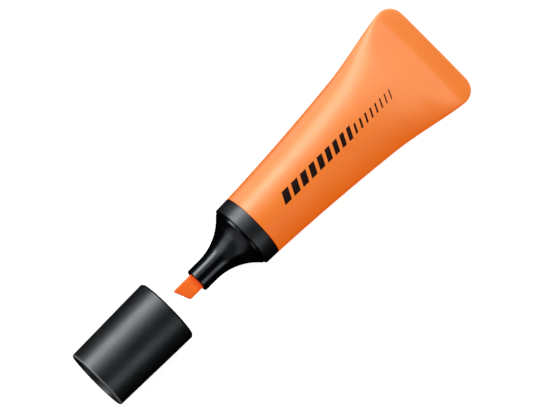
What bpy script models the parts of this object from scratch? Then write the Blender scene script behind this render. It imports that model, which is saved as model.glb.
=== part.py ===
"""Tube highlighter with its cap pulled off: a flat-tailed squeeze tube, a flared nose with a chisel nib, and a cap.

The pen lies on its side along +X, nib forwards, with its flat tail level. The cap lies in line in front of it.
Run it with: blender --background --python part.py
"""

import math

import bmesh
import bpy

MM = 0.001

# --- Driving dimensions -------------------------------------------------------------------------------------------

SIDES = 40  # facets round every turned or lofted piece, all in the same phase so that small clearances stay even
CLEARANCE = 0.10 * MM  # radial gap between nested pieces, and the gap at the visible seams

# Along the pen, x = 0 is the collar's front face, which the cap's rim stops against.
BARREL_RADIUS = 10.83 * MM
COLLAR_LENGTH = 4.8 * MM
COLLAR_FRONT_RADIUS = 10.69 * MM
TAIL_X = -81.45 * MM
NOSE_LENGTH = 18.7 * MM
NOSE_FRONT_RADIUS = 3.86 * MM
NIB_LENGTH_OUT = 6.15 * MM  # from the nose's front to the middle of the slanted edge

CAP_LENGTH = 29.5 * MM
CAP_RIM_RADIUS = 10.72 * MM
CAP_END_RADIUS = 10.13 * MM
CAP_REST_X = 30.6 * MM  # where the rim stands when the cap is off, clear of the nib

# The tube: a circle at the collar that flares sideways and flattens towards a welded tail.
TUBE_FRONT_X = -COLLAR_LENGTH - CLEARANCE
TUBE_WALL = 1.0 * MM
TAIL_HALF_THICKNESS = 0.95 * MM
TAIL_CORNER_RADIUS = 5.8 * MM
FLARE_LINEAR = 3.35 * MM
FLARE_SQUARE = 3.9 * MM
FLARE_SHOULDERS = 1.3 * MM
SHOULDERS_FROM, SHOULDERS_TO = 0.60, 0.92  # shares of the way to the tail
THINNING_FROM = 0.15  # the tube keeps its full thickness up to here
WELD_FROM = 0.92
WELD_SOFTNESS = 0.07  # how gently the tube's slope runs out into the flat weld
THINNING_POWER = 1.8
SQUARE_SECTION = 3.4  # superellipse power of the weld; a plain ellipse is 2
SQUARING_FROM = 0.78
CAVITY_TO = 0.875

# The joint between tube, collar and nose.
NECK_RADIUS = 9.75 * MM
NECK_FRONT_X = -1.1 * MM
SNAP_GROOVE_X = -2.9 * MM
SNAP_GROOVE_WIDTH = 0.8 * MM
SNAP_GROOVE_DEPTH = 0.3 * MM
SLEEVE_RADIUS = 8.85 * MM
SLEEVE_REAR_X = -9.0 * MM
SLEEVE_BORE = 7.6 * MM
LEDGE_DEPTH = 0.8 * MM  # from the collar's rear to the ledge inside the tube that the nose's barb catches
BARB_RADIUS = 9.25 * MM
BARB_LENGTH = 0.7 * MM

# The nose's flare is one arc, from the front cylinder to the rim that the cap slides over.
FLARE_FRONT_X = 14.0 * MM
FLARE_ARC_RADIUS = 17.6 * MM
RIM_X = 0.75 * MM
LAND_RADIUS = 9.70 * MM
FUNNEL_REAR_X = -0.5 * MM
FUNNEL_FRONT_X = 10.5 * MM
FUNNEL_FRONT_RADIUS = 3.1 * MM

# Nib and ink cartridge.
NIB_HALF_WIDTH = 2.64 * MM
NIB_HALF_THICKNESS = 1.70 * MM
NIB_SECTION = 5.0  # superellipse power: a rectangle with rounded corners
NIB_REAR_X = -3.0 * MM
NIB_SLANT = 0.40  # how far the writing edge runs back for each unit across
NIB_EDGE_HALF_THICKNESS = 0.62 * MM
NIB_BEVEL_LENGTH = 5.2 * MM
FIBRE_RADIUS = 6.10 * MM
FIBRE_FRONT_X = 0.5 * MM
FIBRE_REAR_X = -36.2 * MM
WRAP_THICKNESS = 0.12 * MM
CARTRIDGE_RADIUS = 7.3 * MM
CARTRIDGE_BORE = 6.42 * MM
CARTRIDGE_FRONT_X = -1.7 * MM
CARTRIDGE_REAR_X = -37.5 * MM
PLUG_FLANGE = 1.2 * MM
PLUG_VENT_RADIUS = 0.7 * MM

# Inside the cap. Here x = 0 is the rim, and x grows towards the closed end.
CAP_MOUTH_RADIUS = 10.0 * MM
CAP_BORE_FRONT, CAP_BORE_REAR = 9.4 * MM, 8.95 * MM
CAP_END_RECESS = 1.4 * MM
DISC_THICKNESS = 1.0 * MM
DISC_RADIUS = 9.05 * MM
LINER_MOUTH_X = 13.5 * MM
LINER_BORE = NOSE_FRONT_RADIUS + 0.12 * MM
LINER_RADIUS = 5.1 * MM
LINER_FLANGE_RADIUS = 8.83 * MM
LINER_FLOOR = 0.8 * MM

# The origin is on the ground, under the middle of the whole object's box.
SHOULDER_X = -(TAIL_X + CAP_REST_X + CAP_LENGTH) / 2
AXIS_HEIGHT = BARREL_RADIUS


# --- Tools --------------------------------------------------------------------------------------------------------


def clear_scene():
    for obj in list(bpy.data.objects):
        bpy.data.objects.remove(obj)


def plastic(name, colour, roughness, metallic=0.0):
    """A Principled material in one colour."""
    material = bpy.data.materials.new(name)
    material.use_nodes = True
    shader = material.node_tree.nodes["Principled BSDF"]
    shader.inputs["Base Color"].default_value = (*colour, 1.0)
    shader.inputs["Roughness"].default_value = roughness
    shader.inputs["Metallic"].default_value = metallic
    return material


def axis_empty(name, x):
    """An empty on the pen's axis. Its children are modelled along their own X."""
    empty = bpy.data.objects.new(name, None)
    empty.location = (x, 0.0, AXIS_HEIGHT)
    bpy.context.scene.collection.objects.link(empty)
    return empty


def finish_object(name, bm, material, parent):
    """Turns a bmesh into a shaded object on its axis."""
    bmesh.ops.recalc_face_normals(bm, faces=bm.faces)
    mesh = bpy.data.meshes.new(name)
    bm.to_mesh(mesh)
    bm.free()
    mesh.shade_smooth()
    mesh.set_sharp_from_angle(angle=math.radians(35))
    mesh.materials.append(material)
    obj = bpy.data.objects.new(name, mesh)
    obj.parent = parent
    bpy.context.scene.collection.objects.link(obj)
    return obj


def turned(name, profile, material, parent):
    """A closed profile of (x, radius) points, spun once round the X axis. A point at radius 0 lies on the axis."""
    bm = bmesh.new()
    points = [bm.verts.new((x, 0.0, radius)) for x, radius in profile]
    open_ended = profile[0][1] == 0.0 and profile[-1][1] == 0.0
    pairs = zip(points, points[1:] if open_ended else points[1:] + points[:1])
    edges = [bm.edges.new(pair) for pair in pairs]
    bmesh.ops.spin(
        bm, geom=points + edges, axis=(1, 0, 0), cent=(0, 0, 0), angle=2 * math.pi, steps=SIDES, use_merge=True
    )
    bmesh.ops.remove_doubles(bm, verts=bm.verts, dist=1e-7)
    return finish_object(name, bm, material, parent)


def oval(x, half_width, half_thickness, power=2.0, slant=0.0):
    """A superellipse across the X axis. With a slant, x falls as y grows."""
    ring = []
    for i in range(SIDES):
        angle = 2 * math.pi * i / SIDES
        c, s = math.cos(angle), math.sin(angle)
        y = half_width * math.copysign(abs(c) ** (2 / power), c)
        z = half_thickness * math.copysign(abs(s) ** (2 / power), s)
        ring.append((x - slant * y, y, z))
    return ring


def circle(x, radius):
    return oval(x, radius, radius)


def lofted(name, rings, material, parent):
    """Extrudes the first ring step by step, moving each new ring's points into place. Both ends are filled."""
    bm = bmesh.new()
    ring = [bm.verts.new(point) for point in rings[0]]
    bm.faces.new(ring)
    for points in rings[1:]:
        edges = [bm.edges.get(pair) for pair in zip(ring, ring[1:] + ring[:1])]
        geometry = bmesh.ops.extrude_edge_only(bm, edges=edges)["geom"]
        extruded = {item for item in geometry if isinstance(item, bmesh.types.BMVert)}
        ring = [next(e.other_vert(v) for e in v.link_edges if e.other_vert(v) in extruded) for v in ring]
        for vert, point in zip(ring, points):
            vert.co = point
    bm.faces.new(ring)
    return finish_object(name, bm, material, parent)


def cut(obj, cutter):
    cutter.hide_render = True
    cutter.display_type = "WIRE"
    modifier = obj.modifiers.new(cutter.name, "BOOLEAN")
    modifier.operation = "DIFFERENCE"
    modifier.solver = "EXACT"
    modifier.object = cutter


def nib_slot(name, rear, front, material, parent):
    """A cutter with the nib's section and some clearance all round."""
    size = (NIB_HALF_WIDTH + CLEARANCE, NIB_HALF_THICKNESS + CLEARANCE, NIB_SECTION)
    return lofted(name, [oval(rear, *size), oval(front, *size)], material, parent)


def round_edge(x, radius, size, from_degrees, to_degrees, steps=3):
    """Points of a quarter-round of the given size about (x, radius)."""
    angles = [from_degrees + (to_degrees - from_degrees) * i / steps for i in range(steps + 1)]
    return [(x + size * math.cos(math.radians(a)), radius + size * math.sin(math.radians(a))) for a in angles]


def smooth(t):
    t = min(max(t, 0.0), 1.0)
    return t * t * (3 - 2 * t)


def mix(a, b, t):
    return a + (b - a) * t


# --- The tube -----------------------------------------------------------------------------------------------------


def soft_floor(value):
    """The value where it is well above 0, running out smoothly to about 0 where it falls below."""
    return (value + math.hypot(value, WELD_SOFTNESS)) / 2


def tube_section(q, wall=0.0):
    """(half-width, half-thickness, power) of the tube at a share q of the way from the collar to the tail."""
    shoulders = smooth((q - SHOULDERS_FROM) / (SHOULDERS_TO - SHOULDERS_FROM))
    width = BARREL_RADIUS + FLARE_LINEAR * q + FLARE_SQUARE * q * q + FLARE_SHOULDERS * shoulders
    into_corner = max(0.0, TAIL_CORNER_RADIUS - (1 - q) * (TUBE_FRONT_X - TAIL_X))
    width -= TAIL_CORNER_RADIUS - math.sqrt(TAIL_CORNER_RADIUS**2 - into_corner**2)
    thinned = max(0.0, q - THINNING_FROM) / (WELD_FROM - THINNING_FROM)
    fall = math.cos(math.pi / 2 * thinned**THINNING_POWER)
    thickness = mix(TAIL_HALF_THICKNESS, BARREL_RADIUS, soft_floor(fall) / soft_floor(1.0))
    power = mix(2.0, SQUARE_SECTION, smooth((q - SQUARING_FROM) / (WELD_FROM - SQUARING_FROM)))
    return width - wall, thickness - wall, power


def tube_ring(q, wall=0.0):
    return oval(mix(TUBE_FRONT_X, TAIL_X, q), *tube_section(q, wall))


def make_tube(material, parent):
    """One soft shell: a neck with a snap groove, the flaring tube, and a flat welded tail. It is open at the neck."""
    groove_radius = NECK_RADIUS - SNAP_GROOVE_DEPTH
    half_groove = SNAP_GROOVE_WIDTH / 2
    rings = [
        circle(NECK_FRONT_X, NECK_RADIUS),
        circle(SNAP_GROOVE_X + half_groove, NECK_RADIUS),
        circle(SNAP_GROOVE_X + half_groove, groove_radius),
        circle(SNAP_GROOVE_X - half_groove, groove_radius),
        circle(SNAP_GROOVE_X - half_groove, NECK_RADIUS),
        circle(TUBE_FRONT_X, NECK_RADIUS),
        circle(TUBE_FRONT_X, BARREL_RADIUS - 0.15 * MM),
    ]
    outside = [0.002, 0.08, THINNING_FROM, 0.26, 0.37, 0.48, 0.58, 0.66, 0.73, 0.79, 0.835, 0.87, 0.90]
    outside += [WELD_FROM, 0.95, 0.975, 0.99]
    rings += [tube_ring(q) for q in outside]
    end_width, end_thickness, power = tube_section(1.0)
    rings.append(oval(TAIL_X, end_width, end_thickness * 0.6, power))
    inside = [0.78, 0.66, 0.48, 0.30, THINNING_FROM, 0.05]
    cavity = tube_ring(CAVITY_TO, TUBE_WALL)
    cavity_rings = [cavity] + [tube_ring(q, TUBE_WALL) for q in inside]
    cavity_rings += [
        circle(TUBE_FRONT_X - LEDGE_DEPTH - CLEARANCE, BARREL_RADIUS - TUBE_WALL),
        circle(TUBE_FRONT_X - LEDGE_DEPTH, SLEEVE_RADIUS + CLEARANCE),
        circle(NECK_FRONT_X, SLEEVE_RADIUS + CLEARANCE),
    ]
    return lofted("tube_body", list(reversed(rings)) + list(reversed(cavity_rings)), material, parent)


# --- The pen's front ----------------------------------------------------------------------------------------------


def make_collar(material, parent):
    """The ring that locks the tube's neck on the nose. A rib inside it sits in the neck's groove."""
    bore = NECK_RADIUS + CLEARANCE
    rib = NECK_RADIUS - SNAP_GROOVE_DEPTH + CLEARANCE
    half_rib = SNAP_GROOVE_WIDTH / 2 - CLEARANCE
    profile = [(0.0, bore)]
    profile += round_edge(-0.2 * MM, COLLAR_FRONT_RADIUS - 0.2 * MM, 0.2 * MM, 0, 90)
    profile += [
        (-COLLAR_LENGTH + 0.1 * MM, BARREL_RADIUS),
        (-COLLAR_LENGTH, BARREL_RADIUS - 0.1 * MM),
        (-COLLAR_LENGTH, bore),
        (SNAP_GROOVE_X - half_rib, bore),
        (SNAP_GROOVE_X - half_rib, rib),
        (SNAP_GROOVE_X + half_rib, rib),
        (SNAP_GROOVE_X + half_rib, bore),
    ]
    return turned("collar_ring", profile, material, parent)


def nose_radius(x):
    """Outer radius of the nose: a cylinder at the front that flares along one arc."""
    back = max(0.0, FLARE_FRONT_X - x)
    return NOSE_FRONT_RADIUS + FLARE_ARC_RADIUS - math.sqrt(FLARE_ARC_RADIUS**2 - back**2)


def make_nose(material, parent):
    """Nib holder, flare and barbed sleeve in one piece, with a funnel inside that leads the ink rod to the nib."""
    edge = 0.4 * MM
    front = NOSE_LENGTH
    barb_front = TUBE_FRONT_X - LEDGE_DEPTH - 2 * CLEARANCE
    profile = [(front, 0.0)]
    profile += round_edge(front - edge, NOSE_FRONT_RADIUS - edge, edge, 0, 90)
    flare_steps = 10
    for i in range(flare_steps + 1):
        x = mix(FLARE_FRONT_X, RIM_X, i / flare_steps)
        profile.append((x, nose_radius(x)))
    profile += [
        (RIM_X - 0.15 * MM, nose_radius(RIM_X)),
        (RIM_X - 0.40 * MM, LAND_RADIUS),
        (NECK_FRONT_X + CLEARANCE, LAND_RADIUS),
        (NECK_FRONT_X + CLEARANCE, SLEEVE_RADIUS),
        (barb_front, SLEEVE_RADIUS),
        (barb_front, BARB_RADIUS),
        (barb_front - BARB_LENGTH, BARB_RADIUS),
        (barb_front - 3 * BARB_LENGTH, SLEEVE_RADIUS - 0.25 * MM),
        (SLEEVE_REAR_X, SLEEVE_RADIUS - 0.25 * MM),
        (SLEEVE_REAR_X, SLEEVE_BORE),
        (FUNNEL_REAR_X, SLEEVE_BORE),
        (FUNNEL_FRONT_X, FUNNEL_FRONT_RADIUS),
        (FUNNEL_FRONT_X, 0.0),
    ]
    nose = turned("nose_cone", profile, material, parent)
    cut(nose, nib_slot("nose_slot_cutter", FUNNEL_FRONT_X - 1.0 * MM, front + 1.0 * MM, material, parent))


def make_nib(material, parent):
    """A flat fibre bar with a chisel end: both broad faces bevel to a writing edge that slants across the bar."""
    edge_x = NOSE_LENGTH + NIB_LENGTH_OUT
    rings = [oval(NIB_REAR_X, NIB_HALF_WIDTH * 0.8, NIB_HALF_THICKNESS * 0.7, NIB_SECTION)]
    rings.append(oval(NIB_REAR_X + 1.0 * MM, NIB_HALF_WIDTH, NIB_HALF_THICKNESS, NIB_SECTION))
    rings.append(oval(NOSE_LENGTH, NIB_HALF_WIDTH, NIB_HALF_THICKNESS, NIB_SECTION))
    bevel_steps = 3
    for i in range(bevel_steps + 1):
        t = i / bevel_steps
        x = edge_x - 0.15 * MM - NIB_BEVEL_LENGTH * (1 - t)
        thickness = mix(NIB_HALF_THICKNESS, NIB_EDGE_HALF_THICKNESS, t)
        rings.append(oval(x, NIB_HALF_WIDTH, thickness, NIB_SECTION, NIB_SLANT * t))
    rings.append(oval(edge_x, NIB_HALF_WIDTH * 0.93, NIB_EDGE_HALF_THICKNESS * 0.7, NIB_SECTION, NIB_SLANT))
    return lofted("chisel_nib", rings, material, parent)


# --- The ink cartridge inside the tube ----------------------------------------------------------------------------


def make_fibre(material, parent):
    """The ink-soaked fibre rod, with a pocket that the nib's rear end presses into."""
    profile = [(FIBRE_REAR_X, 0.0), (FIBRE_REAR_X, FIBRE_RADIUS), (FIBRE_FRONT_X, FIBRE_RADIUS), (FIBRE_FRONT_X, 0.0)]
    rod = turned("reservoir_fibre", profile, material, parent)
    pocket_floor = NIB_REAR_X - CLEARANCE
    cut(rod, nib_slot("rod_pocket_cutter", pocket_floor, FIBRE_FRONT_X + 1.0 * MM, material, parent))


def sleeve_profile(rear, front, bore, radius):
    return [(rear, bore), (front, bore), (front, radius), (rear, radius)]


def make_wrap(material, parent):
    """The film tube that holds the fibres together."""
    bore = FIBRE_RADIUS + CLEARANCE
    profile = sleeve_profile(FIBRE_REAR_X + 0.2 * MM, FIBRE_FRONT_X - 0.3 * MM, bore, bore + WRAP_THICKNESS)
    return turned("reservoir_wrap", profile, material, parent)


def make_cartridge(material, parent):
    """The stiff barrel that keeps a squeeze on the tube away from the ink."""
    profile = sleeve_profile(CARTRIDGE_REAR_X, CARTRIDGE_FRONT_X, CARTRIDGE_BORE, CARTRIDGE_RADIUS)
    return turned("cartridge_barrel", profile, material, parent)


def make_plug(material, parent):
    """The cartridge's end plug: a flange outside, a spigot inside, and a vent through the middle."""
    seat = CARTRIDGE_REAR_X - CLEARANCE
    spigot = CARTRIDGE_BORE - CLEARANCE
    profile = [
        (seat - PLUG_FLANGE, PLUG_VENT_RADIUS),
        (FIBRE_REAR_X - CLEARANCE, PLUG_VENT_RADIUS),
        (FIBRE_REAR_X - CLEARANCE, spigot - 0.3 * MM),
        (FIBRE_REAR_X - 0.5 * MM, spigot),
        (seat, spigot),
        (seat, CARTRIDGE_RADIUS),
        (seat - PLUG_FLANGE + 0.3 * MM, CARTRIDGE_RADIUS),
        (seat - PLUG_FLANGE, CARTRIDGE_RADIUS - 0.3 * MM),
    ]
    return turned("barrel_plug", profile, material, parent)


# --- The cap ------------------------------------------------------------------------------------------------------


def make_cap_shell(material, parent):
    """A tapered sleeve, thin at the rim that goes over the nose, with a seat for the end disc and a flat foot rim."""
    disc_rear = CAP_LENGTH - CAP_END_RECESS
    disc_front = disc_rear - DISC_THICKNESS
    profile = round_edge(0.2 * MM, CAP_RIM_RADIUS - 0.2 * MM, 0.2 * MM, 180, 90)
    profile += round_edge(CAP_LENGTH - 0.4 * MM, CAP_END_RADIUS - 0.4 * MM, 0.4 * MM, 90, 0)
    profile += [
        (CAP_LENGTH, DISC_RADIUS),
        (disc_rear + CLEARANCE, CAP_BORE_REAR),
        (disc_rear + CLEARANCE, DISC_RADIUS + CLEARANCE),
        (disc_front - CLEARANCE, DISC_RADIUS + CLEARANCE),
        (disc_front - CLEARANCE, CAP_BORE_REAR),
        (2.0 * MM, CAP_BORE_FRONT),
        (1.0 * MM, CAP_MOUTH_RADIUS),
        (0.15 * MM, CAP_MOUTH_RADIUS),
        (0.0, CAP_MOUTH_RADIUS + 0.15 * MM),
    ]
    return turned("cap_shell", profile, material, parent)


def make_cap_disc(material, parent):
    """The recessed disc that closes the cap's far end."""
    rear = CAP_LENGTH - CAP_END_RECESS
    front = rear - DISC_THICKNESS
    chamfer = 0.2 * MM
    profile = [
        (front, 0.0),
        (front, DISC_RADIUS - chamfer),
        (front + chamfer, DISC_RADIUS),
        (rear - chamfer, DISC_RADIUS),
        (rear, DISC_RADIUS - chamfer),
        (rear, 0.0),
    ]
    return turned("cap_end_disc", profile, material, parent)


def make_cap_liner(material, parent):
    """The inner cup that seals round the nose's front, with a flange held against the end disc."""
    floor_rear = CAP_LENGTH - CAP_END_RECESS - DISC_THICKNESS - CLEARANCE
    floor_front = floor_rear - LINER_FLOOR
    profile = [
        (floor_front, 0.0),
        (floor_front, LINER_BORE),
        (LINER_MOUTH_X + 1.0 * MM, LINER_BORE),
        (LINER_MOUTH_X, LINER_BORE + 0.4 * MM),
        (LINER_MOUTH_X, LINER_RADIUS - 0.2 * MM),
        (LINER_MOUTH_X + 0.2 * MM, LINER_RADIUS),
        (floor_front, LINER_RADIUS),
        (floor_front, LINER_FLANGE_RADIUS),
        (floor_rear, LINER_FLANGE_RADIUS),
        (floor_rear, 0.0),
    ]
    return turned("cap_seal_liner", profile, material, parent)


# --- The whole object ---------------------------------------------------------------------------------------------


def main():
    clear_scene()
    orange = plastic("orange_soft_plastic", (0.90, 0.21, 0.03), 0.42)
    black = plastic("black_gloss_plastic", (0.010, 0.011, 0.012), 0.22)
    satin = plastic("black_satin_plastic", (0.014, 0.015, 0.017), 0.38)
    felt = plastic("orange_nib_fibre", (0.92, 0.16, 0.02), 0.85)
    ink = plastic("ink_soaked_fibre", (0.85, 0.16, 0.02), 0.80)
    film = plastic("clear_film", (0.80, 0.80, 0.82), 0.15)
    natural = plastic("natural_plastic", (0.75, 0.75, 0.72), 0.45)

    pen = axis_empty("pen_axis", SHOULDER_X)
    make_tube(orange, pen)
    make_collar(satin, pen)
    make_nose(black, pen)
    make_nib(felt, pen)
    make_fibre(ink, pen)
    make_wrap(film, pen)
    make_cartridge(natural, pen)
    make_plug(natural, pen)

    cap = axis_empty("cap_axis", SHOULDER_X + CAP_REST_X)
    make_cap_shell(satin, cap)
    make_cap_disc(satin, cap)
    make_cap_liner(natural, cap)


main()
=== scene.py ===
"""Looks of a tube highlighter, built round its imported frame.

It makes the fine surfaces, the materials, the print, the light and the camera.
"""

import math
from typing import NamedTuple

import bmesh
import bpy
from mathutils import Matrix, Vector


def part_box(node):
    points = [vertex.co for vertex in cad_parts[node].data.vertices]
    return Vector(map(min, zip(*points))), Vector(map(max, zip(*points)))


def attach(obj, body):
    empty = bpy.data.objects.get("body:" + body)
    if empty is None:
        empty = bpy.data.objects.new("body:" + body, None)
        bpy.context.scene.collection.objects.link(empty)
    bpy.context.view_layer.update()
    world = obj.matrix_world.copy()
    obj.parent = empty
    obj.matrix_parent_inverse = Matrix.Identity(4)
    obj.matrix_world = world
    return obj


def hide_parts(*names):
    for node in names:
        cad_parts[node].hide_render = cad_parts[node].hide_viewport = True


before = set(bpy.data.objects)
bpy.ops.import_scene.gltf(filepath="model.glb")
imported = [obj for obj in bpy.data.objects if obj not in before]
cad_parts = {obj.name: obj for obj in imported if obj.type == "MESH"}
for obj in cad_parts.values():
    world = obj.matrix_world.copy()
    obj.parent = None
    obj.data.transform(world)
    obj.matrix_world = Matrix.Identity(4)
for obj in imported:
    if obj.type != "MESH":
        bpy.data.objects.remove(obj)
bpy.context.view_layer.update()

MM = 0.001

# --- Sizes ----------------------------------------------------------------------------------------
# Outer sizes come from the frame. Edge radii, gaps and other fine detail are named here.

tube_low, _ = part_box("tube_body")
collar_low, collar_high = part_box("collar_ring")
_, nose_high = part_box("nose_cone")
nib_low, nib_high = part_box("chisel_nib")
cap_low, cap_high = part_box("cap_shell")
disc_low, disc_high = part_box("cap_end_disc")
liner_low, liner_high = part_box("cap_seal_liner")

AXIS_Z = (collar_low.z + collar_high.z) / 2
SHOULDER_X = collar_high.x  # the collar's front face
COLLAR_REAR_X = collar_low.x
TAIL_X = tube_low.x
SIDES = 160  # round every turned piece and the tube
SHARP_FROM = math.radians(32)  # edges that turn more than this stay sharp

# The tube: a circle at the collar that flares sideways and flattens towards a welded tail.
# Shares run from 0 at the collar to 1 at the tail.
BARREL_RADIUS = (collar_high.z - collar_low.z) / 2
FLARE_LENGTH = COLLAR_REAR_X - TAIL_X
FLARE_LINEAR = 3.35 * MM
FLARE_SQUARE = 3.9 * MM
FLARE_SHOULDERS = 1.3 * MM
SHOULDERS_FROM, SHOULDERS_TO = 0.60, 0.92
THINNING_FROM = 0.15
THINNING_POWER = 1.8
WELD_FROM = 0.92
WELD_SOFTNESS = 0.05  # how gently the tube's slope runs out into the flat weld
TAIL_HALF_THICKNESS = 0.95 * MM
TAIL_CORNER_RADIUS = 5.8 * MM
TAIL_EDGE = 0.45 * MM
SQUARE_SECTION = 3.4  # superellipse power of the weld; a plain ellipse is 2
SQUARING_FROM = 0.78
SEAM = 0.06 * MM  # between tube and collar
TUBE_FRONT_EDGE = 0.1 * MM
TUBE_NECK_STEP = 1.2 * MM
TUBE_NECK_LENGTH = 1.5 * MM
FLARE_FIRST_SHARE = 0.012  # the long rings start behind the front edge

# The collar and the nose.
NOSE_LAND_RADIUS = 9.70 * MM
NOSE_LAND_LENGTH = 1.0 * MM
COLLAR_BORE = NOSE_LAND_RADIUS + 0.1 * MM
COLLAR_FRONT_RADIUS = 10.69 * MM
COLLAR_FRONT_EDGE = 0.22 * MM
COLLAR_SMALL_EDGE = 0.12 * MM
NOSE_FRONT_RADIUS = 3.86 * MM
NOSE_FRONT_EDGE = 0.45 * MM
NOSE_MOUTH_RADIUS = 3.0 * MM
NOSE_MOUTH_EDGE = 0.2 * MM
NOSE_MOUTH_DEPTH = 6.0 * MM
NOSE_FLARE_FRONT = 14.0 * MM  # from the shoulder to where the nose becomes a straight cylinder
NOSE_FLARE_ARC = 17.6 * MM
NOSE_RIM = 0.75 * MM
NOSE_RIM_EDGE = 0.16 * MM
NOSE_RIM_LIFT = 0.02 * MM
NOSE_GROOVE = 0.2 * MM  # the shadow line between rim and collar

# The nib: a rounded bar with a slanted writing edge.
NIB_SIDES = 96
NIB_SECTION = 5.0  # superellipse power of the bar
NIB_SLANT = 0.40
NIB_EDGE_HALF_THICKNESS = 0.62 * MM
NIB_BEVEL_LENGTH = 5.2 * MM
NIB_ROUND = 0.48 * MM
NIB_ROOT = 5.5 * MM  # how far it goes into the nose

# The cap.
CAP_RADIUS = (cap_high.z - cap_low.z) / 2
CAP_RIM_BEVEL = 0.60 * MM
CAP_RIM_EDGE = 0.12 * MM
CAP_END_RADIUS = 10.13 * MM
CAP_END_EDGE = 0.55 * MM
CAP_END_INNER_EDGE = 0.15 * MM
CAP_BORE_FRONT, CAP_BORE_REAR = 9.4 * MM, 8.95 * MM
CAP_MOUTH_RADIUS = 10.0 * MM
CAP_MOUTH_EDGE = 0.18 * MM
CAP_LEAD_IN_FROM, CAP_LEAD_IN_TO = 1.0 * MM, 2.0 * MM
DISC_GAP = 0.05 * MM
DISC_EDGE = 0.15 * MM
LINER_RADIUS = 5.1 * MM
LINER_BORE = NOSE_FRONT_RADIUS + 0.12 * MM
LINER_FLOOR = 0.8 * MM
LINER_EDGE = 0.2 * MM
LINER_FOOT = 0.6 * MM
LINER_LEAD_IN = 0.4 * MM
LINER_LEAD_IN_FROM, LINER_LEAD_IN_TO = 0.1 * MM, 1.0 * MM

# The painted highlight ring round the cap's closed end fades in over these ranges of x and of radius.
EDGE_HIGHLIGHT_X = (cap_high.x - 0.65 * MM, cap_high.x - 0.45 * MM)
EDGE_HIGHLIGHT_RADIUS = (CAP_END_RADIUS - 0.50 * MM, CAP_END_RADIUS - 0.35 * MM)

# The nib's deeper, redder colour near the nose's mouth fades out over this range of x.
MOUTH_TINT_X = (nose_high.x + 0.3 * MM, nose_high.x + 1.8 * MM)


class BarRun(NamedTuple):
    """A run of printed bars whose widths change evenly from the first to the last."""

    count: int
    height: float
    middle_y: float
    first: float
    last: float
    gap: float


PRINT_FRONT_X = COLLAR_REAR_X - 10.5 * MM
PRINT_LIFT = 0.03 * MM
PRINT_LEAN = 0.5  # how far a bar leans towards the nib, as a share of its height
PRINT_RUNS = (
    BarRun(count=9, height=3.5 * MM, middle_y=0.8 * MM, first=2.6 * MM, last=1.5 * MM, gap=1.25 * MM),
    BarRun(count=8, height=2.7 * MM, middle_y=1.0 * MM, first=0.8 * MM, last=0.4 * MM, gap=1.55 * MM),
)


def mix(a, b, share):
    return a + (b - a) * share


def smooth(share):
    share = min(max(share, 0.0), 1.0)
    return share * share * (3 - 2 * share)


# --- Mesh tools -----------------------------------------------------------------------------------


def piece_from(name, bm, body, material, replaced=None):
    """A finished piece that rides on a CAD body and may stand for a CAD node."""
    bmesh.ops.recalc_face_normals(bm, faces=bm.faces)
    mesh = bpy.data.meshes.new(name)
    bm.to_mesh(mesh)
    bm.free()
    mesh.shade_smooth()
    mesh.set_sharp_from_angle(angle=SHARP_FROM)
    mesh.materials.append(material)
    obj = bpy.data.objects.new(name, mesh)
    bpy.context.scene.collection.objects.link(obj)
    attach(obj, body)
    if replaced:
        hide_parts(replaced)
    return obj


def gathered(name, pieces):
    """A collection of pieces that some of the lights are meant for."""
    collection = bpy.data.collections.new(name)
    for piece in pieces:
        collection.objects.link(piece)
    return collection


def turned(profile):
    """A profile of (x, radius) points spun round the pen's axis.

    It may start and end on the axis, at radius 0. Otherwise its last point joins its first.
    """
    bm = bmesh.new()
    points = [bm.verts.new((x, 0.0, AXIS_Z + radius)) for x, radius in profile]
    ends_on_axis = profile[0][1] == 0.0 and profile[-1][1] == 0.0
    pairs = zip(points, points[1:] if ends_on_axis else points[1:] + points[:1])
    edges = [bm.edges.new(pair) for pair in pairs]
    bmesh.ops.spin(
        bm,
        geom=points + edges,
        axis=(1, 0, 0),
        cent=(0, 0, AXIS_Z),
        angle=2 * math.pi,
        steps=SIDES,
        use_merge=True,
    )
    bmesh.ops.remove_doubles(bm, verts=bm.verts, dist=1e-7)
    return bm


def lofted(rings):
    """Skins a row of rings and fills both ends."""
    bm = bmesh.new()
    loops = [[bm.verts.new(point) for point in ring] for ring in rings]
    count = len(loops[0])
    for ring, after in zip(loops, loops[1:]):
        for i in range(count):
            j = (i + 1) % count
            bm.faces.new((ring[i], ring[j], after[j], after[i]))
    bm.faces.new(loops[0])
    bm.faces.new(loops[-1])
    return bm


def oval(x, half_width, half_thickness, power=2.0, slant=0.0, sides=SIDES):
    """A superellipse across the pen's axis. With a slant, x falls as y grows."""
    ring = []
    for i in range(sides):
        angle = 2 * math.pi * i / sides
        cosine, sine = math.cos(angle), math.sin(angle)
        y = half_width * math.copysign(abs(cosine) ** (2 / power), cosine)
        z = half_thickness * math.copysign(abs(sine) ** (2 / power), sine)
        ring.append((x - slant * y, y, AXIS_Z + z))
    return ring


def arc(x, radius, size, from_degrees, to_degrees, steps=6):
    """Points of a round edge of the given size about (x, radius)."""
    turns = [math.radians(mix(from_degrees, to_degrees, i / steps)) for i in range(steps + 1)]
    return [(x + size * math.cos(turn), radius + size * math.sin(turn)) for turn in turns]


# --- Materials ------------------------------------------------------------------------------------
# Colours are linear red, green and blue. A pair is the two shades that a noise mixes.

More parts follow.
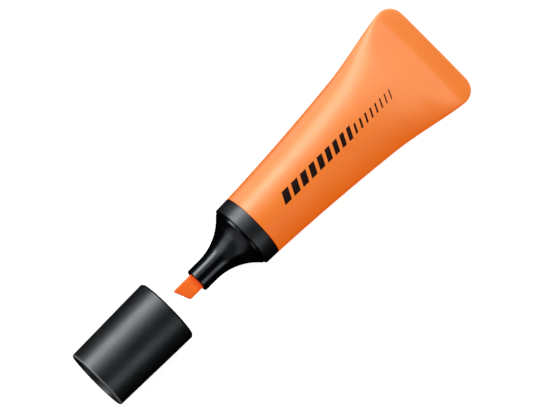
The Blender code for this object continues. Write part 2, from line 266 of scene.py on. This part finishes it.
ORANGE = (0.38, 0.206, 0.001), (0.41, 0.222, 0.002)
FELT = (0.54, 0.145, 0.006), (0.64, 0.195, 0.012)
FELT_BLOTCH = (0.56, 0.13, 0.005)
FELT_AT_MOUTH = (0.64, 0.11, 0.006)
# painted glow: a steady orange-red light that the tube and nib give off, keeping their red bright in shade
PAINTED_NEON_GLOW = (1.0, 0.02, 0.0)
NATURAL = (0.72, 0.72, 0.69), (0.80, 0.80, 0.77)
INKY = (0.72, 0.10, 0.01), (0.90, 0.20, 0.03)
FILM = (0.78, 0.78, 0.80), (0.86, 0.86, 0.88)
PRINT = (0.008, 0.003, 0.002), (0.030, 0.008, 0.004)
FLOOR = (0.93, 0.93, 0.93), (0.95, 0.95, 0.95)
# painted highlight: the light grey of the ring on the edge of the cap's closed end
PAINTED_HIGHLIGHT_GREY = (0.16, 0.16, 0.165)
COOL_SHINE = (0.88, 0.95, 1.0)
WHITE = (1.0, 1.0, 1.0)

SATIN = {"colour": (0.0010, 0.0013, 0.0020), "roughness": 0.42, "shine": 0.68, "streaks": 0.015 * MM}
GLOSS = {"colour": (0.0006, 0.0008, 0.0014), "roughness": 0.20, "shine": 0.50, "streaks": 0.004 * MM}
PATCH_LIFT = 1.5  # how much lighter the dull patches of the black plastics are


class Nodes:
    """A short way to write a procedural material.

    nodes.add(type, **inputs) makes a node and wires its inputs. nodes.set(**inputs) wires the shader's.
    """

    def __init__(self, name):
        self.material = bpy.data.materials.new(name)
        self.material.use_nodes = True
        self.tree = self.material.node_tree
        self.shader = self.tree.nodes["Principled BSDF"]
        self.position = self.tree.nodes.new("ShaderNodeTexCoord").outputs["Object"]

    def add(self, kind, settings=None, **inputs):
        node = self.tree.nodes.new("ShaderNode" + kind)
        for key, value in (settings or {}).items():
            setattr(node, key, value)
        for key, value in inputs.items():
            self.feed(node.inputs[key.replace("_", " ")], value)
        return node

    def feed(self, socket, value):
        if isinstance(value, bpy.types.NodeSocket):
            self.tree.links.new(value, socket)
        elif socket.type == "RGBA":
            socket.default_value = (*value, 1)
        else:
            socket.default_value = value

    def set(self, **inputs):
        for key, value in inputs.items():
            self.feed(self.shader.inputs[key.replace("_", " ")], value)

    def placed(self, scale, location=(0, 0, 0)):
        """The position scaled in each direction and then moved."""
        return self.add("Mapping", Vector=self.position, Scale=scale, Location=location).outputs["Vector"]

    def x(self):
        """How far along the pen a point lies."""
        return self.add("SeparateXYZ", Vector=self.position).outputs["X"]

    def radius(self):
        """How far from the pen's axis a point lies."""
        from_axis = self.placed(scale=(0, 1, 1), location=(0, 0, -AXIS_Z))
        return self.add("VectorMath", {"operation": "LENGTH"}, Vector=from_axis).outputs["Value"]

    def noise(self, scale, detail=3.0, roughness=0.5, squeeze=1.0):
        """Noise from 0 to 1, in features per metre. A small squeeze draws it out along the pen."""
        vector = self.placed(scale=(squeeze, 1, 1))
        node = self.add("TexNoise", Vector=vector, Scale=scale, Detail=detail, Roughness=roughness)
        return node.outputs["Fac"]

    def ramp(self, value, to_low=0.0, to_high=1.0, low=0.3, high=0.7):
        """The value taken from the range low..high to the range to_low..to_high, and held at its ends.

        The range 0.3..0.7 holds most of a noise's values.
        """
        node = self.add("MapRange")
        for socket, number in zip(node.inputs, (value, low, high, to_low, to_high)):
            self.feed(socket, number)
        return node.outputs["Result"]

    def blend(self, share, first, second):
        node = self.add("Mix", {"data_type": "RGBA"})
        share_socket, first_socket, second_socket = (node.inputs[i] for i in (0, 6, 7))
        self.feed(share_socket, share)
        self.feed(first_socket, first)
        self.feed(second_socket, second)
        return node.outputs[2]

    def product(self, first, *factors):
        result = first
        for factor in factors:
            node = self.add("Math", {"operation": "MULTIPLY"})
            self.feed(node.inputs[0], result)
            self.feed(node.inputs[1], factor)
            result = node.outputs[0]
        return result

    def bump(self, height, distance, strength, over=None):
        """A bumped normal, over another one if it is given."""
        node = self.add("Bump", Height=height, Distance=distance, Strength=strength)
        if over:
            self.feed(node.inputs["Normal"], over)
        return node.outputs["Normal"]


def soft_orange():
    """The tube's soft-touch plastic: even grain, cloudy neon colour, patches polished by handling, and a
    painted glow.
    """
    nodes = Nodes("orange_soft_touch")
    cloud = nodes.noise(90, detail=2.0)
    patches = nodes.noise(220, detail=4.0, roughness=0.6)
    grain = nodes.noise(6500, detail=2.0)
    nodes.set(
        Base_Color=nodes.blend(nodes.ramp(cloud), *ORANGE),
        Roughness=nodes.ramp(patches, 0.38, 0.44),
        Specular_IOR_Level=0.72,
        # painted glow: the tube gives off orange-red light of its own
        Emission_Color=PAINTED_NEON_GLOW,
        Emission_Strength=0.53,
        Normal=nodes.bump(grain, distance=0.02 * MM, strength=0.5),
    )
    return nodes.material


def painted_edge_highlight(nodes, patches):
    """A painted highlight: how strongly a light grey lies as an uneven ring on the outer edge of the cap's
    closed end.
    """
    near_end = nodes.ramp(nodes.x(), low=EDGE_HIGHLIGHT_X[0], high=EDGE_HIGHLIGHT_X[1])
    outside = nodes.ramp(nodes.radius(), low=EDGE_HIGHLIGHT_RADIUS[0], high=EDGE_HIGHLIGHT_RADIUS[1])
    return nodes.product(near_end, outside, nodes.ramp(patches, 0.7, 1.0))


def black_plastic(name, colour, roughness, shine, streaks, painted_highlight=False):
    """Moulded black plastic with faint lengthwise draw marks, dull patches and a very fine grain."""
    nodes = Nodes(name)
    patches = nodes.noise(260, detail=4.0, roughness=0.6)
    draw = nodes.noise(2600, detail=2.0, squeeze=0.03)
    grain = nodes.noise(9000, detail=1.0)
    dull = [PATCH_LIFT * channel for channel in colour]
    shade = nodes.blend(nodes.ramp(patches, low=0.35, high=0.75), colour, dull)
    if painted_highlight:
        # painted highlight: a light grey ring on the rounded edge of the cap's closed end
        shade = nodes.blend(painted_edge_highlight(nodes, patches), shade, PAINTED_HIGHLIGHT_GREY)
    fine = nodes.bump(grain, distance=0.008 * MM, strength=0.4)
    nodes.set(
        Base_Color=shade,
        Roughness=nodes.ramp(patches, roughness - 0.03, roughness + 0.04),
        Specular_IOR_Level=shine,
        Specular_Tint=COOL_SHINE,
        Normal=nodes.bump(draw, distance=streaks, strength=0.5, over=fine),
    )
    return nodes.material


def nib_felt():
    """Pressed fibre of the nib: threads along the pen, and deeper colour in blotches and at the mouth."""
    nodes = Nodes("nib_felt")
    threads = nodes.noise(5200, detail=4.0, roughness=0.65, squeeze=0.10)
    blotches = nodes.noise(500, detail=2.0)
    dry = nodes.blend(nodes.ramp(threads, low=0.35, high=0.65), *FELT)
    blotched = nodes.blend(nodes.ramp(blotches, 0.0, 0.5, high=0.8), dry, FELT_BLOTCH)
    near_mouth = nodes.ramp(nodes.x(), 1.0, 0.0, low=MOUTH_TINT_X[0], high=MOUTH_TINT_X[1])
    nodes.set(
        Base_Color=nodes.blend(near_mouth, blotched, FELT_AT_MOUTH),
        Roughness=0.85,
        Specular_IOR_Level=0.3,
        # painted glow: the nib gives off orange-red light of its own
        Emission_Color=PAINTED_NEON_GLOW,
        Emission_Strength=0.42,
        Normal=nodes.bump(threads, distance=0.08 * MM, strength=0.8),
    )
    return nodes.material


def natural_plastic():
    """Milky, slightly uneven polypropylene of the parts inside."""
    nodes = Nodes("natural_polypropylene")
    cloud = nodes.noise(300)
    nodes.set(
        Base_Color=nodes.blend(cloud, *NATURAL),
        Roughness=nodes.ramp(cloud, 0.38, 0.5),
        Normal=nodes.bump(cloud, distance=0.02 * MM, strength=0.4),
    )
    return nodes.material


def ink_fibre():
    """Ink-soaked threads of the reservoir."""
    nodes = Nodes("ink_soaked_fibre")
    threads = nodes.noise(3500, roughness=0.6, squeeze=0.05)
    nodes.set(
        Base_Color=nodes.blend(threads, *INKY),
        Roughness=0.8,
        Normal=nodes.bump(threads, distance=0.1 * MM, strength=0.8),
    )
    return nodes.material


def clear_film():
    """Slightly creased film round the reservoir."""
    nodes = Nodes("reservoir_film")
    creases = nodes.noise(400, detail=2.0)
    nodes.set(
        Base_Color=nodes.blend(creases, *FILM),
        Roughness=0.15,
        Normal=nodes.bump(creases, distance=0.05 * MM, strength=0.5),
    )
    return nodes.material


def print_ink():
    """Matt dark brown-black print, slightly thin in places."""
    nodes = Nodes("print_ink")
    thin = nodes.noise(2500)
    nodes.set(
        Base_Color=nodes.blend(nodes.ramp(thin, low=0.4, high=0.75), *PRINT),
        Roughness=0.6,
        Specular_IOR_Level=0.15,
    )
    return nodes.material


def pale_floor():
    """The floor's white, with a little light of its own."""
    nodes = Nodes("pale_floor")
    nodes.set(
        Base_Color=nodes.blend(nodes.noise(40), *FLOOR),
        Roughness=0.9,
        Emission_Color=WHITE,
        Emission_Strength=0.62,
    )
    return nodes.material


# --- The tube -------------------------------------------------------------------------------------


def soft_floor(value):
    """The value, but never under 0, with a soft bend between the two."""
    return (value + math.hypot(value, WELD_SOFTNESS)) / 2


def tube_section(share):
    """(half-width, half-thickness, superellipse power) of the tube at a share of the way to the tail."""
    shoulders = smooth((share - SHOULDERS_FROM) / (SHOULDERS_TO - SHOULDERS_FROM))
    width = BARREL_RADIUS + FLARE_LINEAR * share + FLARE_SQUARE * share**2 + FLARE_SHOULDERS * shoulders
    into_corner = min(max(0.0, TAIL_CORNER_RADIUS - (1 - share) * FLARE_LENGTH), TAIL_CORNER_RADIUS)
    width -= TAIL_CORNER_RADIUS - math.sqrt(TAIL_CORNER_RADIUS**2 - into_corner**2)
    thinned = max(0.0, share - THINNING_FROM) / (WELD_FROM - THINNING_FROM)
    fall = math.cos(math.pi / 2 * thinned**THINNING_POWER)
    thickness = mix(TAIL_HALF_THICKNESS, BARREL_RADIUS, soft_floor(fall) / soft_floor(1.0))
    squared = smooth((share - SQUARING_FROM) / (WELD_FROM - SQUARING_FROM))
    return width, thickness, mix(2.0, SQUARE_SECTION, squared)


def make_tube(material):
    """The outer skin from the neck inside the collar to the tail, with rounded edges."""
    front_x = COLLAR_REAR_X - SEAM
    neck_radius = BARREL_RADIUS - TUBE_NECK_STEP
    rings = [oval(x, neck_radius, neck_radius) for x in (COLLAR_REAR_X + TUBE_NECK_LENGTH, front_x)]
    edge = TUBE_FRONT_EDGE
    for x, radius in arc(front_x - edge, BARREL_RADIUS - edge, edge, 0, 90, steps=3):
        rings.append(oval(x, radius, radius))
    long_steps, end_steps = 110, 18
    long_share = 1 - TAIL_CORNER_RADIUS / FLARE_LENGTH
    for i in range(1, long_steps + 1):
        share = mix(FLARE_FIRST_SHARE, long_share, i / long_steps)
        rings.append(oval(mix(COLLAR_REAR_X, TAIL_X, share), *tube_section(share)))
    for i in range(1, end_steps + 1):
        turn = math.pi / 2 * i / end_steps
        x = TAIL_X + TAIL_CORNER_RADIUS * (1 - math.sin(turn))
        width, thickness, power = tube_section((COLLAR_REAR_X - x) / FLARE_LENGTH)
        into_edge = max(0.0, TAIL_EDGE - (x - TAIL_X)) / TAIL_EDGE
        thickness -= TAIL_EDGE * (1 - math.sqrt(1 - into_edge**2))
        rings.append(oval(x, width, thickness, power))
    return piece_from("tube_skin", lofted(rings), "pen", material, "tube_body")


# --- The pen's front ------------------------------------------------------------------------------


def make_collar(material):
    """The ring between tube and nose. Its front edge is the roundest."""
    front, small = COLLAR_FRONT_EDGE, COLLAR_SMALL_EDGE
    profile = [(SHOULDER_X - small, COLLAR_BORE), (SHOULDER_X, COLLAR_BORE + small)]
    profile += arc(SHOULDER_X - front, COLLAR_FRONT_RADIUS - front, front, 0, 88)
    profile += arc(COLLAR_REAR_X + small, BARREL_RADIUS - small, small, 91, 180)
    profile += [(COLLAR_REAR_X, COLLAR_BORE)]
    return piece_from("collar_band", turned(profile), "pen", material, "collar_ring")


def nose_radius(along):
    """Outer radius of the nose at a distance in front of the shoulder."""
    back = max(0.0, NOSE_FLARE_FRONT - along)
    return NOSE_FRONT_RADIUS + NOSE_FLARE_ARC - math.sqrt(NOSE_FLARE_ARC**2 - back**2)


def make_nose(material):
    """The glossy flare, open at the front so that the nib stands in a real mouth."""
    front_x = nose_high.x
    mouth_floor_x = front_x - NOSE_MOUTH_DEPTH
    land_rear_x = SHOULDER_X - NOSE_LAND_LENGTH
    inner, outer, rim = NOSE_MOUTH_EDGE, NOSE_FRONT_EDGE, NOSE_RIM_EDGE
    rim_radius = nose_radius(NOSE_RIM) + NOSE_RIM_LIFT
    profile = [(mouth_floor_x, 0.0), (mouth_floor_x, NOSE_MOUTH_RADIUS)]
    profile += arc(front_x - inner, NOSE_MOUTH_RADIUS + inner, inner, 270, 360, steps=4)
    profile += arc(front_x - outer, NOSE_FRONT_RADIUS - outer, outer, 0, 90)
    flare_steps = 40
    for i in range(flare_steps + 1):
        along = mix(NOSE_FLARE_FRONT, NOSE_RIM, i / flare_steps)
        profile.append((SHOULDER_X + along, nose_radius(along)))
    profile += arc(SHOULDER_X + NOSE_RIM - rim, rim_radius - rim, rim, 60, 180, steps=5)
    profile += [(SHOULDER_X + NOSE_GROOVE, NOSE_LAND_RADIUS), (land_rear_x, NOSE_LAND_RADIUS)]
    profile += [(land_rear_x, 0.0)]
    return piece_from("nose_flare", turned(profile), "pen", material, "nose_cone")


def make_nib(material):
    """The chisel nib: a rounded bar whose broad faces run down to a slanted writing edge."""
    half_width = (nib_high.y - nib_low.y) / 2
    half_thickness = (nib_high.z - nib_low.z) / 2
    edge_x = nib_high.x - NIB_SLANT * half_width
    rings = [oval(nose_high.x - NIB_ROOT, half_width, half_thickness, NIB_SECTION, sides=NIB_SIDES)]
    bevel_steps, round_steps = 36, 8
    for i in range(bevel_steps + 1):
        share = i / bevel_steps
        x = edge_x - NIB_ROUND - NIB_BEVEL_LENGTH * (1 - share)
        thickness = mix(half_thickness, NIB_EDGE_HALF_THICKNESS, 2 * smooth(share / 2))
        rings.append(oval(x, half_width, thickness, NIB_SECTION, NIB_SLANT * share, NIB_SIDES))
    for i in range(1, round_steps + 1):
        turn = math.pi / 2 * i / round_steps
        x = edge_x - NIB_ROUND * (1 - math.sin(turn))
        inset = NIB_ROUND * (1 - math.cos(turn))
        thickness = NIB_EDGE_HALF_THICKNESS - inset
        rings.append(oval(x, half_width - inset, thickness, NIB_SECTION, NIB_SLANT, NIB_SIDES))
    return piece_from("nib", lofted(rings), "pen", material, "chisel_nib")


# --- The cap --------------------------------------------------------------------------------------


def make_cap_shell(material):
    """The tapered sleeve: a bevelled rim, a rounded closed end, and a bore with a lead-in."""
    rim_x, end_x = cap_low.x, cap_high.x
    rim, mouth = CAP_RIM_EDGE, CAP_MOUTH_EDGE
    outer, inner = CAP_END_EDGE, CAP_END_INNER_EDGE
    profile = arc(rim_x + rim, CAP_RADIUS - CAP_RIM_BEVEL, rim, 180, 140, steps=3)
    profile += arc(rim_x + CAP_RIM_BEVEL, CAP_RADIUS - rim, rim, 130, 91, steps=3)
    profile += arc(end_x - outer, CAP_END_RADIUS - outer, outer, 89, 0, steps=8)
    profile += arc(end_x - inner, CAP_BORE_REAR + inner, inner, 0, -90, steps=4)
    profile += [(disc_low.x, CAP_BORE_REAR), (rim_x + CAP_LEAD_IN_TO, CAP_BORE_FRONT)]
    profile += [(rim_x + CAP_LEAD_IN_FROM, CAP_MOUTH_RADIUS)]
    profile += arc(rim_x + mouth, CAP_MOUTH_RADIUS + mouth, mouth, 270, 180, steps=4)
    return piece_from("cap_sleeve", turned(profile), "cap", material, "cap_shell")


def make_cap_disc(material):
    """The flat recessed end, with a small bevel round it."""
    radius = CAP_BORE_REAR - DISC_GAP
    rear_x = disc_high.x
    profile = [(disc_low.x, 0.0), (disc_low.x, radius), (rear_x - DISC_EDGE, radius)]
    profile += [(rear_x, radius - DISC_EDGE), (rear_x, 0.0)]
    return piece_from("cap_end", turned(profile), "cap", material, "cap_end_disc")


def make_cap_liner(material):
    """The inner cup that seals round the nose, with a flange at its closed end."""
    mouth_x = liner_low.x
    rear_x = liner_high.x
    floor_x = rear_x - LINER_FLOOR
    flange = (liner_high.z - liner_low.z) / 2
    profile = [(floor_x, 0.0), (floor_x, LINER_BORE), (mouth_x + LINER_LEAD_IN_TO, LINER_BORE)]
    profile += [(mouth_x + LINER_LEAD_IN_FROM, LINER_BORE + LINER_LEAD_IN)]
    profile += arc(mouth_x + LINER_EDGE, LINER_RADIUS - LINER_EDGE, LINER_EDGE, 180, 90)
    profile += [(floor_x - LINER_FOOT, LINER_RADIUS), (floor_x, LINER_RADIUS + LINER_FOOT)]
    profile += [(floor_x, flange), (rear_x, flange), (rear_x, 0.0)]
    return piece_from("cap_liner", turned(profile), "cap", material, "cap_seal_liner")


# --- Print ----------------------------------------------------------------------------------------


def tube_top(x, y):
    """Height of the tube's upper surface over a point."""
    width, thickness, power = tube_section((COLLAR_REAR_X - x) / FLARE_LENGTH)
    return AXIS_Z + thickness * (1 - abs(y / width) ** power) ** (1 / power)


def add_bar(bm, front_x, width, run):
    """One slanted bar that lies on the tube. Its middle runs back from front_x."""
    across, along = 14, 6
    grid = []
    for i in range(across + 1):
        from_middle = run.height * (i / across - 0.5)
        y = run.middle_y + from_middle
        row = []
        for j in range(along + 1):
            x = front_x - width * j / along + PRINT_LEAN * from_middle
            row.append(bm.verts.new((x, y, tube_top(x, y) + PRINT_LIFT)))
        grid.append(row)
    for lower, upper in zip(grid, grid[1:]):
        for j in range(along):
            bm.faces.new((lower[j], lower[j + 1], upper[j + 1], upper[j]))


def make_print(material):
    """A generic mark on top of the tube: heavy slanted bars, then thin ones towards the tail."""
    bm = bmesh.new()
    x = PRINT_FRONT_X
    for run in PRINT_RUNS:
        for i in range(run.count):
            width = mix(run.first, run.last, i / (run.count - 1))
            add_bar(bm, x, width, run)
            x -= width + run.gap
    return piece_from("tube_print", bm, "pen", material)


# --- All the pieces -------------------------------------------------------------------------------


def dress_hidden_pieces(natural):
    """Materials for the CAD nodes that stay as they are, inside the tube."""
    materials = {
        "reservoir_fibre": ink_fibre(),
        "reservoir_wrap": clear_film(),
        "cartridge_barrel": natural,
        "barrel_plug": natural,
    }
    for node, material in materials.items():
        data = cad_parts[node].data
        data.materials.clear()
        data.materials.append(material)


def make_pieces():
    """Makes every piece, and gathers by name the groups that some of the lights are meant for."""
    satin = black_plastic("black_satin", **SATIN)
    highlighted_satin = black_plastic("cap_satin", **SATIN, painted_highlight=True)
    gloss = black_plastic("black_gloss", **GLOSS)
    natural = natural_plastic()
    orange = [make_tube(soft_orange()), make_nib(nib_felt())]
    cap = [make_cap_shell(highlighted_satin), make_cap_disc(satin)]
    black = [make_collar(satin), make_nose(gloss), *cap]
    make_cap_liner(natural)
    make_print(print_ink())
    dress_hidden_pieces(natural)
    groups = {"orange_pieces": orange, "cap_pieces": cap, "black_pieces": black}
    return {name: gathered(name, pieces) for name, pieces in groups.items()}


# --- Studio ---------------------------------------------------------------------------------------

VIEW_LEAN = math.radians(8.5)  # how far the camera stands from straight above, on the cap's side
VIEW_ROLL = (-0.7103, -0.7039)  # where the pen's +X points in the picture, right and up
VIEW_TARGET = Vector((SHOULDER_X - 13.6 * MM, 0.54 * MM, AXIS_Z))
VIEW_DISTANCE = 1.032
VIEW_LENS = 229.0
VIEW_SENSOR = 36.0
WORLD_STRENGTH = 0.40
FLOOR_HALF_SIZE = 3.0


class Card(NamedTuple):
    """A rectangular light that faces the pen. Lengths are in metres and angles in degrees.

    lateral is its angle from straight up, negative on the pen's -Y side, and lean tips it towards the tail.
    size is (across, along the pen). lit names the group that it lights, and an empty name means all pieces.
    """

    name: str
    lateral: float
    size: tuple
    radiance: float
    lit: str = ""
    lean: float = 0.0
    distance: float = 0.7
    along_x: float = 0.0


REFLECTED_CARDS = (
    Card("key_strip", -59, (0.32, 1.65), 8.0, along_x=-0.525),
    Card("key_front", -55, (0.60, 1.2), 1.2, along_x=0.9),
    Card("front_card", 0, (1.6, 0.6), 0.25, lit="black_pieces", lean=-52, distance=0.8),
    Card("front_low", -8, (1.5, 0.30), 0.5, lit="black_pieces", lean=-78, distance=0.8),
    Card("key_glow", -45, (0.80, 1.6), 1.0, lit="black_pieces", distance=0.72),
    Card("fill_strip", 50, (0.32, 0.43), 2.1, lit="black_pieces", along_x=0.085),
    Card("cap_glow", -36, (0.26, 0.5), 1.3, lit="cap_pieces"),
    Card("side_card", -105, (0.60, 2.0), 2.2, lit="orange_pieces"),
    Card("top_card", -22, (0.36, 0.8), 0.75, lit="orange_pieces", along_x=-0.1),
    Card("tail_card", 8, (0.9, 0.36), 2.6, lit="orange_pieces", lean=54, distance=0.8),
)
SOFT_CARDS = (
    Card("soft_key", -50, (0.7, 0.9), 3.3, distance=1.0),
    Card("soft_fill", 50, (0.7, 0.9), 1.5, distance=1.0),
)


def make_camera():
    camera = bpy.data.objects.new("camera", bpy.data.cameras.new("camera"))
    bpy.context.scene.collection.objects.link(camera)
    back = Vector((math.sin(VIEW_LEAN), 0.0, math.cos(VIEW_LEAN)))
    along = Vector((math.cos(VIEW_LEAN), 0.0, -math.sin(VIEW_LEAN)))
    across = back.cross(along)
    right = along * VIEW_ROLL[0] - across * VIEW_ROLL[1]
    up = along * VIEW_ROLL[1] + across * VIEW_ROLL[0]
    rotation = Matrix((right, up, back)).transposed().to_4x4()
    camera.matrix_world = Matrix.Translation(VIEW_TARGET + back * VIEW_DISTANCE) @ rotation
    camera.data.lens = VIEW_LENS
    camera.data.sensor_width = VIEW_SENSOR
    camera.data.clip_start = 0.05
    camera.data.clip_end = 10.0
    bpy.context.scene.camera = camera


def direction(card):
    """The way from the pen towards a card."""
    lateral, lean = math.radians(card.lateral), math.radians(card.lean)
    return Vector((-math.sin(lean), math.sin(lateral) * math.cos(lean), math.cos(lateral) * math.cos(lean)))


def area_light(card):
    towards = direction(card)
    side = towards.cross(Vector((1, 0, 0))).normalized()
    rotation = Matrix((side, side.cross(towards), towards)).transposed().to_4x4()
    place = Vector((card.along_x, 0, AXIS_Z)) + towards * card.distance
    light = bpy.data.lights.new(card.name, "AREA")
    light.shape = "RECTANGLE"
    light.size, light.size_y = card.size
    light.energy = card.radiance * math.pi * card.size[0] * card.size[1]
    obj = bpy.data.objects.new(card.name, light)
    obj.matrix_world = Matrix.Translation(place) @ rotation
    obj.visible_camera = False
    bpy.context.scene.collection.objects.link(obj)
    return obj


def make_lights(groups):
    """Strips and cards that only show as highlights, and two broad soft lights for the colours."""
    for card in REFLECTED_CARDS:
        light = area_light(card)
        light.visible_diffuse = False
        if card.lit:
            light.light_linking.receiver_collection = groups[card.lit]
    for card in SOFT_CARDS:
        area_light(card).visible_glossy = False


def make_world():
    """Even white light from all round for the colours. Glossy surfaces see only the lights."""
    world = bpy.data.worlds.new("studio")
    bpy.context.scene.world = world
    world.use_nodes = True
    background = world.node_tree.nodes["Background"]
    background.inputs["Color"].default_value = (*WHITE, 1)
    background.inputs["Strength"].default_value = WORLD_STRENGTH
    world.cycles_visibility.glossy = False
    world.cycles.sampling_method = "NONE"  # glossy surfaces would see a world that is sampled as a light


def make_floor():
    bm = bmesh.new()
    bmesh.ops.create_grid(bm, x_segments=1, y_segments=1, size=FLOOR_HALF_SIZE)
    mesh = bpy.data.meshes.new("floor")
    bm.to_mesh(mesh)
    bm.free()
    mesh.materials.append(pale_floor())
    floor = bpy.data.objects.new("floor", mesh)
    bpy.context.scene.collection.objects.link(floor)
    floor.visible_glossy = False
    floor.visible_diffuse = False


# --- The whole scene ------------------------------------------------------------------------------


bpy.context.scene.view_settings.view_transform = "Standard"
make_camera()
make_world()
make_lights(make_pieces())
make_floor()
